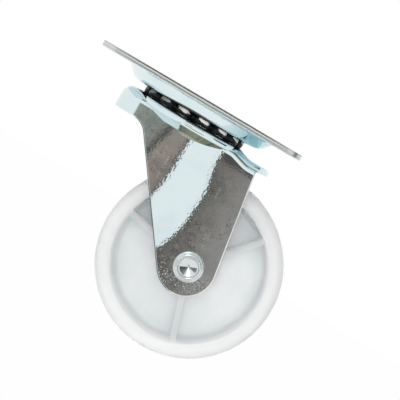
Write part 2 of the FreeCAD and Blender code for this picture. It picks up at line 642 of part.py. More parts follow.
def build_race_backs():
    # the sheet behind the two races of the crown, one swelling down, one up
    body = new_body("upper_race_back")
    section = new_sketch(body, "upper_back_section", "XZ_Plane")
    radius = size["upper_ball_radius"] + size["race_play"] + size["upper_swell"]
    chord = -size["crown_drop"] - size["fork_sheet"] / 2
    ring_segment(section, ("sizes.upper_ring_radius", "-sizes.upper_ring_drop"),
                 "sizes.upper_ball_radius + sizes.race_play + sizes.upper_swell",
                 "-sizes.crown_drop - sizes.fork_sheet / 2",
                 (size["upper_ring_radius"], -size["upper_ring_drop"], radius, chord), False)
    turned(body, "Revolution", "upper_back", section)
    other = new_body("lower_race_back")
    section = new_sketch(other, "lower_back_section", "XZ_Plane")
    radius = size["lower_ball_radius"] + size["race_play"] + size["lower_swell"]
    ring_segment(section, ("sizes.lower_ring_radius", "-sizes.lower_ring_drop"),
                 "sizes.lower_ball_radius + sizes.race_play + sizes.lower_swell",
                 "-sizes.crown_drop - sizes.fork_sheet / 2",
                 (size["lower_ring_radius"], -size["lower_ring_drop"], radius, chord), True)
    turned(other, "Revolution", "lower_back", section)
    return [body, other]


def race_ring(name, ring, drop, radius):
    torus = doc.addObject("Part::Torus", name)
    torus.setExpression("Radius1", "sizes." + ring)
    torus.setExpression("Radius2", "sizes.%s + sizes.race_play" % radius)
    torus.setExpression("Placement.Base.z", "-sizes." + drop)
    return torus


def round_bar(name, radius, length, axis_turn):
    bar = doc.addObject("Part::Cylinder", name)
    bar.setExpression("Radius", radius)
    bar.setExpression("Height", length)
    if axis_turn:
        bar.Placement.Rotation = FreeCAD.Rotation(FreeCAD.Vector(1, 0, 0), 90)
    return bar


def cut_of(name, base, tool):
    result = doc.addObject("Part::Cut", name)
    result.Base = base
    result.Tool = tool
    result.Refine = True
    return result


def fuse_of(name, shapes):
    result = doc.addObject("Part::MultiFuse", name)
    result.Shapes = shapes
    result.Refine = True
    return result


def build_fork():
    outside = fuse_of("fork_blank", [build_fork_outside(), build_crown_cap()])
    pressed = cut_of("fork_pressed", outside, build_fork_hollow())
    backed = fuse_of("fork_backed", [pressed] + build_race_backs())
    middle = round_bar("crown_hole", "sizes.crown_hole_radius", "30", False)
    middle.Placement.Base = FreeCAD.Vector(0, 0, -30)
    axle = round_bar("axle_holes", "sizes.axle_radius + sizes.axle_fit", "60", True)
    axle.setExpression("Placement.Base.x", "sizes.trail")
    axle.setExpression("Placement.Base.y", "30")
    axle.setExpression("Placement.Base.z", "-sizes.axle_drop")
    upper = race_ring("upper_race", "upper_ring_radius", "upper_ring_drop", "upper_ball_radius")
    lower = race_ring("lower_race", "lower_ring_radius", "lower_ring_drop", "lower_ball_radius")
    cuts = fuse_of("fork_openings", [middle, axle, upper, lower])
    fork = cut_of("fork", backed, cuts)
    fork.Label = "fork"
    return fork


def to_axle(body):
    # bodies turned about the Y axis are drawn at the origin and moved to the axle
    body.setExpression("Placement.Base.x", "sizes.trail")
    body.setExpression("Placement.Base.z", "-sizes.axle_drop")


def build_axle_rivet():
    body = new_body("axle_rivet")
    section = new_sketch(body, "rivet_section", "XY_Plane")
    face = "sizes.fork_half_width"
    polygon(section, [
        ("0", "-%s - sizes.swage_height + sizes.cone_depth" % face),
        ("sizes.cone_radius", "-%s - sizes.swage_height" % face),
        ("sizes.swage_radius", "-%s - sizes.swage_height" % face),
        ("sizes.swage_radius", "-" + face),
        ("sizes.axle_radius", "-" + face),
        ("sizes.axle_radius", face),
        ("sizes.head_radius", face),
        ("sizes.head_radius", face + " + sizes.head_height"),
        ("0", face + " + sizes.head_height"),
    ])
    shape = turned(body, "Revolution", "rivet_turned", section)
    near = size["fork_half_width"] + size["swage_height"]
    far = size["fork_half_width"] + size["head_height"]
    swage = rounded(body, "swage_round", shape, "sizes.swage_round",
                    lambda edge: wheel_edge(edge, size["swage_radius"], near))
    rounded(body, "head_round", swage, "sizes.head_round",
            lambda edge: wheel_edge(edge, size["head_radius"], far))
    to_axle(body)
    return body


def build_axle_bush():
    body = new_body("axle_bush")
    section = new_sketch(body, "bush_section", "XY_Plane")
    inner = "sizes.axle_radius + sizes.axle_fit"
    end = "(sizes.fork_half_width - sizes.fork_sheet)"
    polygon(section, [
        (inner, "-" + end),
        ("sizes.bush_radius", "-" + end),
        ("sizes.bush_radius", end),
        (inner, end),
    ])
    turned(body, "Revolution", "bush_turned", section)
    to_axle(body)
    return body


def build_wheel():
    body = new_body("wheel")
    section = new_sketch(body, "wheel_section", "XY_Plane")
    rim_mouth = "sizes.wheel_radius - sizes.rim_wall"
    rim_foot = rim_mouth + " - sizes.rim_draft"
    side = "(sizes.fork_half_width - sizes.fork_sheet - sizes.wheel_side_gap)"
    hub_end = "(sizes.fork_half_width - sizes.fork_sheet - sizes.hub_side_gap)"
    half = [
        ("sizes.bush_radius + sizes.hub_bore_play", hub_end),
        ("sizes.hub_radius", hub_end),
        ("sizes.hub_radius", "sizes.web_half"),
        (rim_foot, "sizes.web_half"),
        (rim_mouth, side),
        ("sizes.wheel_radius", side),
    ]
    mirrored = [(r, "-" + y) for r, y in reversed(half)]
    polygon(section, half + mirrored)
    shape = turned(body, "Revolution", "wheel_moulding", section)
    mouth = size["wheel_radius"] - size["rim_wall"]
    half_width = size["fork_half_width"] - size["fork_sheet"] - size["wheel_side_gap"]
    shoulders = rounded(body, "tread_shoulders", shape, "sizes.wheel_shoulder",
                        lambda edge: wheel_edge(edge, size["wheel_radius"], half_width))
    lips = rounded(body, "rim_lips", shoulders, "sizes.rim_lip_round",
                   lambda edge: wheel_edge(edge, mouth, half_width))
    web = size["web_half"]
    rounded(body, "web_fillets", lips, "sizes.web_round",
            lambda edge: wheel_edge(edge, mouth - size["rim_draft"], web) or wheel_edge(edge, size["hub_radius"], web))
    ribs = new_sketch(body, "rib_outline", "XZ_Plane")
    rib = [
        ("sizes.hub_radius - 1", "-sizes.rib_thickness / 2"),
        (rim_foot + " + 1.5", "-sizes.rib_thickness / 2"),
        (rim_foot + " + 1.5", "sizes.rib_thickness / 2"),
        ("sizes.hub_radius - 1", "sizes.rib_thickness / 2"),
    ]
    polygon(ribs, rib)
    ribs.setExpression("AttachmentOffset.Rotation.Angle", "sizes.rib_angle * 1 deg")
    ribs.setExpression("AttachmentOffset.Rotation.Axis.z", "1")
    one = pad(body, "rib", ribs, "2 * (%s - sizes.rib_set_back)" % side, symmetric=True)
    pattern = body.newObject("PartDesign::PolarPattern", "three_ribs")
    pattern.Originals = [one]
    pattern.Axis = (section, ["V_Axis"])
    pattern.Angle = 360
    pattern.Occurrences = 3
    body.Tip = pattern
    to_axle(body)
    return body


def check(items):
    doc.recompute()
    broken = [item.Name for item in doc.Objects if "Invalid" in item.State or "Error" in item.State]
    if broken:
        raise RuntimeError("objects not built: " + ", ".join(broken))
    for item in items:
        if item.Shape.isNull() or not item.Shape.isValid():
            raise RuntimeError(item.Label + ": shape not valid")
        if len(item.Shape.Solids) != 1:
            raise RuntimeError("%s: %d solids" % (item.Label, len(item.Shape.Solids)))


def write(items):
    os.makedirs("parts", exist_ok=True)
    for item in items:
        item.Shape.exportStep("parts/%s.step" % item.Label)
        print(item.Label, "volume %.1f mm3" % item.Shape.Volume)


write_sheet()
items = [build_top_plate(), build_kingpin(), build_lower_race_cup()]
items += build_balls("upper_ball", UPPER_BALLS, UPPER_START, "upper_ring_radius", "upper_ring_drop",
                     "upper_ball_radius")
items += build_balls("lower_ball", LOWER_BALLS, LOWER_START, "lower_ring_radius", "lower_ring_drop",
                     "lower_ball_radius")
items += [build_fork(), build_axle_rivet(), build_axle_bush(), build_wheel()]
check(items)
write(items)
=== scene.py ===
import math

import bpy
import numpy as np
from mathutils import Matrix, Vector


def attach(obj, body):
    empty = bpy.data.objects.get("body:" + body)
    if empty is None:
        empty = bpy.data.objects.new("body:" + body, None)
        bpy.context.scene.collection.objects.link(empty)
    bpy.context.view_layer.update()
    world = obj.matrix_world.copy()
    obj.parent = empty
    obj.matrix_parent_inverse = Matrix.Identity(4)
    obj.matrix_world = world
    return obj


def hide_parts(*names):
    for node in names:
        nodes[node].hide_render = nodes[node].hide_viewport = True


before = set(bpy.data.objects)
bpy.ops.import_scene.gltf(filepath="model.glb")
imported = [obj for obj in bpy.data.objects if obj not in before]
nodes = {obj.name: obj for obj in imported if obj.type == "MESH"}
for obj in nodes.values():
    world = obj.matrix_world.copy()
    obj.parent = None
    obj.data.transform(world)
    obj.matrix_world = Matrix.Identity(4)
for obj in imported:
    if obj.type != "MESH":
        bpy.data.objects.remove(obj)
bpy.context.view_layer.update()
scene = bpy.context.scene
mm = 0.001
axleAt = np.array([18.7, 0.0, -40.0])  # middle of the axle, millimetres
print("frame loaded:", len(nodes), "nodes")

# settings that many nodes share
smooth = {"interpolation_type": "SMOOTHSTEP"}
multiply = {"operation": "MULTIPLY"}
multiplyAdd = {"operation": "MULTIPLY_ADD"}
absolute = {"operation": "ABSOLUTE"}
mixColour = {"data_type": "RGBA"}
mixValue = {"data_type": "FLOAT"}


def linear(hexColour):
    # sRGB hex to linear light
    parts = [int(hexColour[k:k + 2], 16) / 255 for k in (1, 3, 5)]
    return tuple(c / 12.92 if c <= 0.04045 else ((c + 0.055) / 1.055) ** 2.4 for c in parts) + (1.0,)


def addNode(tree, kind, settings=None, inputs=None):
    # one node with its properties; an input is a value, another node's output, or the node itself
    node = tree.nodes.new("ShaderNode" + kind)
    for name, value in (settings or {}).items():
        setattr(node, name, value)
    for name, value in (inputs or {}).items():
        if isinstance(value, bpy.types.Node):
            mixesColour = value.bl_idname == "ShaderNodeMix" and value.data_type == "RGBA"
            value = value.outputs[2 if mixesColour else 0]
        if isinstance(value, bpy.types.NodeSocket):
            tree.links.new(value, node.inputs[name])
        else:
            node.inputs[name].default_value = value
    return node


def setStops(node, stops):
    # stops of a colour ramp: (place from 0 to 1, sRGB hex)
    cells = node.color_ramp.elements
    while len(cells) < len(stops):
        cells.new(0.5)
    for cell, (place, colour) in zip(cells, stops):
        cell.position = place
        cell.color = linear(colour)
    return node


def startMaterial(name):
    material = bpy.data.materials.new(name)
    material.use_nodes = True
    tree = material.node_tree
    tree.nodes.clear()
    return material, tree, addNode(tree, "OutputMaterial")


def window(tree, value, low, high, soft):
    # 1 where low < value < high, with borders that fade over soft; None leaves that side open
    sides = []
    if low is not None:
        sides.append(addNode(tree, "MapRange", smooth,
                             {"Value": value, "From Min": low - soft, "From Max": low + soft}))
    if high is not None:
        sides.append(addNode(tree, "MapRange", smooth,
                             {"Value": value, "From Min": high - soft, "From Max": high + soft,
                              "To Min": 1.0, "To Max": 0.0}))
    return sides[0] if len(sides) == 1 else addNode(tree, "Math", multiply, {0: sides[0], 1: sides[1]})


def distance(tree, place, centre, keep):
    # length of (place - centre), its parts first multiplied by keep: (1, 1, 0) gives the radius from the swivel
    moved = addNode(tree, "VectorMath", {"operation": "SUBTRACT"}, {0: place, 1: centre})
    kept = addNode(tree, "VectorMath", multiply, {0: moved, 1: keep})
    return addNode(tree, "VectorMath", {"operation": "LENGTH"}, {0: kept}).outputs["Value"]


# zinc plated sheet, blue passivated: bright and almost a mirror, with a cold blue cast and faint straw and
# violet where the film is thicker, fine crystal grain that makes the borders of reflections sandy, pinholes
# near the cut edges, and a few hairlines from the bin; grease lies in the races, painted as dark as the shade
# of the narrow ball gap, and the sheared edges show their zones with painted highlight lines and a painted
# dark reflection line. The grain is drawn at twice to three times its real size, a finer one would only blur
plating = {
    "film": [(0.30, "#D5E4E8"), (0.47, "#DCE9EB"), (0.60, "#D5E4E8"), (0.70, "#DEE4E2"), (0.80, "#D8DDE4")],
    "patch": 11 * mm, "grain": 0.66 * mm, "grainHeight": 0.0017 * mm, "wave": 10 * mm, "waveHeight": 0.010 * mm,
    "roughness": 0.020, "edgeRoughness": 0.32, "greaseRoughness": 0.22,
    "pit": 0.27 * mm, "pitDark": "#6A6B6C", "pitShare": 0.6, "drift": 5 * mm,
    "sandTop": -36 * mm, "sandFoot": -45 * mm, "sand": 0.50,
    "scratch": 0.12 * mm, "scratchDepth": 0.002 * mm, "scratchLight": "#F2F4F3",
    "scratchTurns": ((0.5, 0.04), (2.1, 0.07)),
    "teal": "#98C5D2", "greaseAndShade": "#15191A",
}

# where things lie on the plate, and the bands through the thickness of its sheared sides from the foot up:
# shear zones drawn with painted highlight lines and a painted dark reflection line on top
plateZones = {
    "greaseShadeRadius": 19.7 * mm, "greaseShadeNarrow": 1.14, "greaseShadeTop": -3.0 * mm,
    "sidesFrom": 25 * mm, "wallFrom": 16.5 * mm, "wallTo": 24 * mm, "wallTop": -1.6 * mm,
    "tealFrom": 8 * mm, "tealTo": 17 * mm, "tealShare": 0.7,
    "foot": -1.375 * mm, "top": 0.125 * mm, "wobble": 1.6 * mm, "wobbleHeight": 0.25 * mm,
    "shearBandsPaintedLight": [(0.0, "#F4F7F7"), (0.16, "#EDF2F2"), (0.24, "#9EADAA"), (0.50, "#A9B6B3"), (0.58, "#F2F5F4"),
                (0.72, "#E4E8E7"), (0.80, "#5E5750"), (1.0, "#6E665F")],
    "endsFrom": 14 * mm, "endsTo": 27 * mm, "ends": "#D2D6D5", "endsShare": 0.75,
}


def plateMasks(tree, place, normal):
    zone = plateZones
    x, y, z = addNode(tree, "SeparateXYZ", None, {"Vector": place}).outputs
    facing = addNode(tree, "SeparateXYZ", None, {"Vector": normal}).outputs[2]
    radius = distance(tree, place, (0, 0, 0), (1, 1, 0))
    # grease, painted as dark as the shade of the narrow ball gap: the dish's underside round the ball ring,
    # less of it in front and behind
    drawnIn = distance(tree, place, (0, 0, 0), (zone["greaseShadeNarrow"], 1, 0))
    inside = addNode(tree, "Math", multiply,
                     {0: window(tree, drawnIn, None, zone["greaseShadeRadius"], 0.2 * mm),
                      1: window(tree, facing, None, -0.5, 0.1)})
    greaseAndShade = addNode(tree, "Math", multiply,
                     {0: inside, 1: window(tree, z, None, zone["greaseShadeTop"], 0.02 * mm)})
    # sheared sides of the plate
    edge = addNode(tree, "Math", multiply,
                   {0: window(tree, facing, -0.8, 0.8, 0.05),
                    1: window(tree, radius, zone["sidesFrom"], None, 0.1 * mm)})
    # thicker blue film on the trailing side of the dish wall
    wall = addNode(tree, "Math", multiply,
                   {0: window(tree, radius, zone["wallFrom"], zone["wallTo"], 0.5 * mm),
                    1: window(tree, z, None, zone["wallTop"], 0.2 * mm)})
    behind = addNode(tree, "MapRange", smooth,
                     {"Value": x, "From Min": zone["tealFrom"], "From Max": zone["tealTo"],
                      "To Max": zone["tealShare"]})
    teal = addNode(tree, "Math", multiply, {0: wall, 1: behind})
    # through the thickness of a sheared side: shear zones painted as white highlight lines, a grey band and a
    # dark reflection line on top
    wobble = addNode(tree, "TexNoise", None, {"Vector": place, "Scale": 1 / zone["wobble"], "Detail": 3.0})
    moved = addNode(tree, "Math", multiplyAdd, {0: wobble, 1: zone["wobbleHeight"], 2: z})
    share = addNode(tree, "MapRange", None, {"Value": moved, "From Min": zone["foot"], "From Max": zone["top"]})
    edgeZonesPaintedLight = setStops(addNode(tree, "ValToRGB", None, {"Fac": share}), zone["shearBandsPaintedLight"])
    # toward the plate's ends the bands fade to a pale painted highlight
    ends = addNode(tree, "MapRange", smooth,
                   {"Value": addNode(tree, "Math", absolute, {0: x}),
                    "From Min": zone["endsFrom"], "From Max": zone["endsTo"], "To Max": zone["endsShare"]})
    edgeZonesPaintedLight = addNode(tree, "Mix", mixColour, {0: ends, 6: edgeZonesPaintedLight.outputs["Color"], 7: linear(zone["ends"])})
    return greaseAndShade, edge, teal, edgeZonesPaintedLight


# where things lie on the fork; the legs' cut edges are burnished pale, and painted dark where they face
# forward, a painted dark reflection
forkZones = {
    "greaseShadeRadius": 16.1 * mm, "greaseShadeFoot": -8.9 * mm, "burnish": "#F1EFEA", "frontEdgePaintedDark": "#686F6D",
    "legInside": 10.6 * mm, "legTop": -10.5 * mm, "noseEnd": -13.0 * mm,
    "rimFrom": 15.5 * mm, "rimTo": 30 * mm, "rimFoot": -8.4 * mm,
    "tealFrom": 6 * mm, "tealTo": 16 * mm, "tealShare": 0.15,
}


def forkMasks(tree, place, normal):
    zone = forkZones
    x, y, z = addNode(tree, "SeparateXYZ", None, {"Vector": place}).outputs
    facing = addNode(tree, "SeparateXYZ", None, {"Vector": normal}).outputs
    radius = distance(tree, place, (0, 0, 0), (1, 1, 0))
    # grease, painted as dark as the shade of the narrow ball gap: the crown's top round the ball ring
    inside = addNode(tree, "Math", multiply,
                     {0: window(tree, radius, None, zone["greaseShadeRadius"], 0.3 * mm),
                      1: window(tree, facing[2], 0.2, None, 0.1)})
    greaseAndShade = addNode(tree, "Math", multiply,
                     {0: inside, 1: window(tree, z, zone["greaseShadeFoot"], None, 0.05 * mm)})
    # cut edges of the two legs
    sideways = addNode(tree, "Math", absolute, {0: facing[1]})
    outward = addNode(tree, "Math", absolute, {0: y})
    legs = addNode(tree, "Math", multiply,
                   {0: window(tree, outward, zone["legInside"], None, 0.02 * mm),
                    1: window(tree, z, None, zone["legTop"], 0.1 * mm)})
    legs = addNode(tree, "Math", multiply, {0: legs, 1: window(tree, x, zone["noseEnd"], None, 0.1 * mm)})
    edge = addNode(tree, "Math", multiply, {0: window(tree, sideways, None, 0.97, 0.02), 1: legs})
    # forward-facing cut edges get the painted dark reflection
    ahead = addNode(tree, "MapRange", None, {"Value": facing[0], "From Min": -0.12, "From Max": 0.02})
    edgeZonesPaintedLight = addNode(tree, "Mix", mixColour,
                    {0: ahead, 6: linear(zone["frontEdgePaintedDark"]), 7: linear(zone["burnish"])})
    # thicker blue film on the crown's rim behind
    rim = addNode(tree, "Math", multiply,
                  {0: window(tree, radius, zone["rimFrom"], zone["rimTo"], 0.5 * mm),
                   1: window(tree, z, zone["rimFoot"], None, 0.3 * mm)})
    behind = addNode(tree, "MapRange", smooth,
                     {"Value": x, "From Min": zone["tealFrom"], "From Max": zone["tealTo"],
                      "To Max": zone["tealShare"]})
    teal = addNode(tree, "Math", multiply, {0: rim, 1: behind})
    return greaseAndShade, edge, teal, edgeZonesPaintedLight


def zincPlatedSteel(name, masks=None):
    material, tree, out = startMaterial(name)
    at = addNode(tree, "TexCoord")
    place, normal = at.outputs["Object"], at.outputs["Normal"]
    patches = addNode(tree, "TexNoise", None,
                      {"Vector": place, "Scale": 1 / plating["patch"], "Detail": 2.0, "Roughness": 0.45})
    film = setStops(addNode(tree, "ValToRGB", None, {"Fac": patches}), plating["film"])
    # pinholes and bright grains, dense on the legs' round ends and in loose drifts elsewhere
    drift = addNode(tree, "TexNoise", None, {"Vector": place, "Scale": 1 / plating["drift"], "Detail": 2.0})
    height = addNode(tree, "SeparateXYZ", None, {"Vector": place}).outputs[2]
    low = addNode(tree, "MapRange", smooth,
                  {"Value": height, "From Min": plating["sandTop"], "From Max": plating["sandFoot"],
                   "To Max": plating["sand"]})
    amount = addNode(tree, "MapRange", smooth,
                     {"Value": addNode(tree, "Math", {"operation": "ADD"}, {0: drift, 1: low}),
                      "From Min": 0.68, "From Max": 0.95, "To Max": plating["pitShare"]})
    pits = addNode(tree, "TexNoise", None, {"Vector": place, "Scale": 1 / plating["pit"], "Detail": 1.0})
    grains = setStops(addNode(tree, "ValToRGB", None, {"Fac": pits}),
                      [(0.34, plating["pitDark"]), (0.46, "#FFFFFF"), (1.0, "#FFFFFF")])
    pitted = addNode(tree, "Mix", {"data_type": "RGBA", "blend_type": "MULTIPLY"},
                     {0: amount, 6: film, 7: grains.outputs["Color"]})
    bright = addNode(tree, "MapRange", None, {"Value": pits, "From Min": 0.62, "From Max": 0.70})
    pale = addNode(tree, "Math", multiply, {0: amount, 1: bright})
    # hairlines: noise drawn out along two directions, only its rare peaks kept
    lines = 0.0
    for turn, stretch in plating["scratchTurns"]:
        turned = addNode(tree, "Mapping", None,
                         {"Vector": place, "Rotation": (0.3, turn, 0.2), "Scale": (1.0, 1.0, stretch)})
        hair = addNode(tree, "TexNoise", None,
                       {"Vector": turned, "Scale": 0.35 / plating["scratch"], "Detail": 0.0})
        peak = addNode(tree, "MapRange", None,
                       {"Value": hair, "From Min": 0.83, "From Max": 0.87, "To Max": 0.5})
        lines = addNode(tree, "Math", {"operation": "MAXIMUM"}, {0: lines, 1: peak})
    colour = addNode(tree, "Mix", mixColour, {0: lines, 6: pitted, 7: linear(plating["scratchLight"])})
    rough = plating["roughness"]
    metal = addNode(tree, "Math", {"operation": "SUBTRACT"}, {0: 1.0, 1: pale})
    if masks:
        greaseAndShade, edge, teal, edgeZonesPaintedLight = masks(tree, place, normal)
        colour = addNode(tree, "Mix", mixColour, {0: teal, 6: colour, 7: linear(plating["teal"])})
        colour = addNode(tree, "Mix", mixColour, {0: edge, 6: colour, 7: edgeZonesPaintedLight})
        colour = addNode(tree, "Mix", mixColour, {0: greaseAndShade, 6: colour, 7: linear(plating["greaseAndShade"])})
        rough = addNode(tree, "Mix", mixValue, {0: edge, 2: plating["roughness"], 3: plating["edgeRoughness"]})
        rough = addNode(tree, "Mix", mixValue, {0: greaseAndShade, 2: rough, 3: plating["greaseRoughness"]})
        metal = addNode(tree, "Math", {"operation": "SUBTRACT", "use_clamp": True}, {0: metal, 1: greaseAndShade})
    grain = addNode(tree, "TexNoise", None, {"Vector": place, "Scale": 1 / plating["grain"], "Detail": 1.0})
    wave = addNode(tree, "TexNoise", None, {"Vector": place, "Scale": 1 / plating["wave"], "Detail": 0.0})
    fine = addNode(tree, "Bump", None, {"Strength": 1.0, "Distance": plating["grainHeight"], "Height": grain})
    scored = addNode(tree, "Bump", None,
                     {"Strength": 0.6, "Distance": plating["scratchDepth"], "Height": lines, "Normal": fine})
    coarse = addNode(tree, "Bump", None,
                     {"Strength": 1.0, "Distance": plating["waveHeight"], "Height": wave, "Normal": scored})
    shader = addNode(tree, "BsdfPrincipled", None,
                     {"Base Color": colour, "Metallic": metal, "Roughness": rough, "Normal": coarse})
    tree.links.new(shader.outputs[0], out.inputs["Surface"])
    return material


# bearing balls and lower cup: hardened chrome steel, ground and lapped, under a film of dark grease painted as
# dark as the shade in the race gap; each ball gets one lens-shaped painted highlight on its outer side,
# streaked
ballLook = {
    "greaseAndShade": "#14181A", "film": "#34373A", "paintedGlint": "#FFFCF6", "cloud": 1.6 * mm, "cloudHeight": 0.02 * mm,
    "streak": 0.5 * mm, "streakShare": 0.9, "count": 15, "first": math.radians(-78),
    "ring": 14.2 * mm, "outsideFrom": 13.2 * mm, "height": -5.12 * mm, "drop": -0.16 * mm,
    "halfLength": 1.65 * mm, "halfHeight": 0.58 * mm, "reach": 1.42,
    "glintFrom": -10 * mm, "glintTo": 0.0, "leastGlint": 0.30, "mostGlint": 0.95,
}


def greasedAndShadedSteel(name, paintedGlint):
    look = ballLook
    material, tree, out = startMaterial(name)
    place = addNode(tree, "TexCoord").outputs["Object"]
    x, y, height = addNode(tree, "SeparateXYZ", None, {"Vector": place}).outputs
    cloud = addNode(tree, "TexNoise", None, {"Vector": place, "Scale": 1 / look["cloud"], "Detail": 2.0})
    film = addNode(tree, "MapRange", None, {"Value": cloud, "From Min": 0.50, "From Max": 0.75})
    colour = addNode(tree, "Mix", mixColour, {0: film, 6: linear(look["greaseAndShade"]), 7: linear(look["film"])})
    if paintedGlint:
        # along: place round the ring, -0.5 to 0.5 from gap to gap; 0 is the middle of a ball
        pitch = 2 * math.pi / look["count"]
        turn = addNode(tree, "Math", {"operation": "ARCTAN2"}, {0: y, 1: x})
        share = addNode(tree, "Math", multiplyAdd, {0: turn, 1: 1 / pitch, 2: 0.5 - look["first"] / pitch})
        within = addNode(tree, "Math", {"operation": "FLOORED_MODULO"}, {0: share, 1: 1.0})
        along = addNode(tree, "Math", {"operation": "SUBTRACT"}, {0: within, 1: 0.5})
        across = addNode(tree, "Math", multiply, {0: along, 1: pitch * look["ring"] / look["halfLength"]})
        # the lens leans: its middle drops toward the rear
        middle = addNode(tree, "Math", multiplyAdd, {0: across, 1: look["drop"], 2: look["height"]})
        up = addNode(tree, "Math", {"operation": "SUBTRACT"}, {0: height, 1: middle})
        risen = addNode(tree, "Math", {"operation": "DIVIDE"}, {0: up, 1: look["halfHeight"]})
        spot = addNode(tree, "CombineXYZ", None, {0: across, 1: risen})
        reach = addNode(tree, "VectorMath", {"operation": "LENGTH"}, {0: spot}).outputs["Value"]
        drawn = addNode(tree, "Mapping", None, {"Vector": place, "Scale": (0.4, 0.4, 1.0)})
        streak = addNode(tree, "TexNoise", None, {"Vector": drawn, "Scale": 1 / look["streak"], "Detail": 1.0})
        frayed = addNode(tree, "Math", multiplyAdd, {0: streak, 1: look["streakShare"], 2: reach})
        radius = distance(tree, place, (0, 0, 0), (1, 1, 0))
        outside = window(tree, radius, look["outsideFrom"], None, 0.2 * mm)
        zone = addNode(tree, "Math", multiply, {0: window(tree, frayed, None, look["reach"], 0.16), 1: outside})
        # the painted highlight is stronger toward the rear
        glintStrength = addNode(tree, "MapRange", smooth,
                       {"Value": x, "From Min": look["glintFrom"], "From Max": look["glintTo"],
                        "To Min": look["leastGlint"], "To Max": look["mostGlint"]})
        glintMask = addNode(tree, "Math", multiply, {0: zone, 1: glintStrength})
        colour = addNode(tree, "Mix", mixColour, {0: glintMask, 6: colour, 7: linear(look["paintedGlint"])})
    bump = addNode(tree, "Bump", None, {"Strength": 0.4, "Distance": look["cloudHeight"], "Height": cloud})
    shader = addNode(tree, "BsdfPrincipled", None,
                     {"Base Color": colour, "Roughness": 0.30, "Specular IOR Level": 0.25, "Normal": bump})
    tree.links.new(shader.outputs[0], out.inputs["Surface"])
    return material


# cold headed and drawn steel, zinc plated: bright, with fine rings round the axle left by the tool
rivetLook = {"steel": "#E2E7E8", "dull": "#C9CFD0", "ring": 0.22 * mm, "cloud": 0.5 * mm, "depth": 0.004 * mm}


def turnedSteel(name, centre):
    material, tree, out = startMaterial(name)
    place = addNode(tree, "TexCoord").outputs["Object"]
    radius = distance(tree, place, centre, (1, 0, 1))
    turns = addNode(tree, "Math", multiply, {0: radius, 1: 2 * math.pi / rivetLook["ring"]})
    rings = addNode(tree, "Math", {"operation": "SINE"}, {0: turns})
    cloud = addNode(tree, "TexNoise", None, {"Vector": place, "Scale": 1 / rivetLook["cloud"], "Detail": 2.0})
    height = addNode(tree, "Math", multiplyAdd, {0: rings, 1: 0.3, 2: cloud})
    bump = addNode(tree, "Bump", None, {"Strength": 0.5, "Distance": rivetLook["depth"], "Height": height})
    colour = addNode(tree, "Mix", mixColour,
                     {0: cloud, 6: linear(rivetLook["steel"]), 7: linear(rivetLook["dull"])})
    rough = addNode(tree, "Mix", mixValue, {0: cloud, 2: 0.07, 3: 0.14})
    shader = addNode(tree, "BsdfPrincipled", None,
                     {"Base Color": colour, "Metallic": 1.0, "Roughness": rough, "Normal": bump})
    tree.links.new(shader.outputs[0], out.inputs["Surface"])
    return material


# wheel: natural polypropylene, injection moulded; light enters and scatters far, so inner borders look soft;
# the thin recessed web, which lets much of it out behind, is painted greyer than rim and ribs, a painted shade;
# satin skin with faint flow clouds
wheelLook = {
    "thick": "#F6F7F6", "webPaintedShade": "#D1D6D8", "cloud": "#E8EAEA", "cloudShare": 0.35, "depth": 15 * mm,
    "flow": 6 * mm, "skin": 0.4 * mm, "skinHeight": 0.008 * mm,
    "web": 1.6 * mm, "blend": 0.5 * mm, "ribShare": 0.35, "rimFrom": 20.4 * mm,
}


def mouldedPlastic(name, scatter=1.0):
    look = wheelLook
    material, tree, out = startMaterial(name)
    place = addNode(tree, "TexCoord").outputs["Object"]
    flow = addNode(tree, "TexNoise", None, {"Vector": place, "Scale": 1 / look["flow"], "Detail": 3.0})
    skin = addNode(tree, "TexNoise", None, {"Vector": place, "Scale": 1 / look["skin"], "Detail": 2.0})
    # thickness of the moulding, guessed from the distance to its middle plane and to the axle
    sideways = addNode(tree, "SeparateXYZ", None, {"Vector": place}).outputs[1]
    outward = addNode(tree, "Math", absolute, {0: sideways})
    stout = addNode(tree, "MapRange", smooth,
                    {"Value": outward, "From Min": look["web"], "From Max": look["web"] + 2 * look["blend"],
                     "To Max": look["ribShare"]})
    radius = distance(tree, place, tuple(axleAt * mm), (1, 0, 1))
    thick = addNode(tree, "Math", {"operation": "MAXIMUM"},
                    {0: stout, 1: window(tree, radius, look["rimFrom"], None, 0.3 * mm)})
    # the thin recessed web gets a greyer colour, painted shade
    wallsWithWebShade = addNode(tree, "Mix", mixColour, {0: thick, 6: linear(look["webPaintedShade"]), 7: linear(look["thick"])})
    clouds = addNode(tree, "MapRange", None,
                     {"Value": flow, "From Min": 0.35, "From Max": 0.75, "To Max": look["cloudShare"]})
    colour = addNode(tree, "Mix", mixColour, {0: clouds, 6: wallsWithWebShade, 7: linear(look["cloud"])})
    rough = addNode(tree, "Mix", mixValue, {0: skin, 2: 0.34, 3: 0.44})
    bump = addNode(tree, "Bump", None, {"Strength": 0.3, "Distance": look["skinHeight"], "Height": skin})
    shader = addNode(tree, "BsdfPrincipled", None,
                     {"Base Color": colour, "Roughness": rough, "IOR": 1.49, "Normal": bump,
                      "Subsurface Weight": scatter, "Subsurface Radius": (1.0, 0.98, 0.95),
                      "Subsurface Scale": look["depth"]})
    tree.links.new(shader.outputs[0], out.inputs["Surface"])
    return material


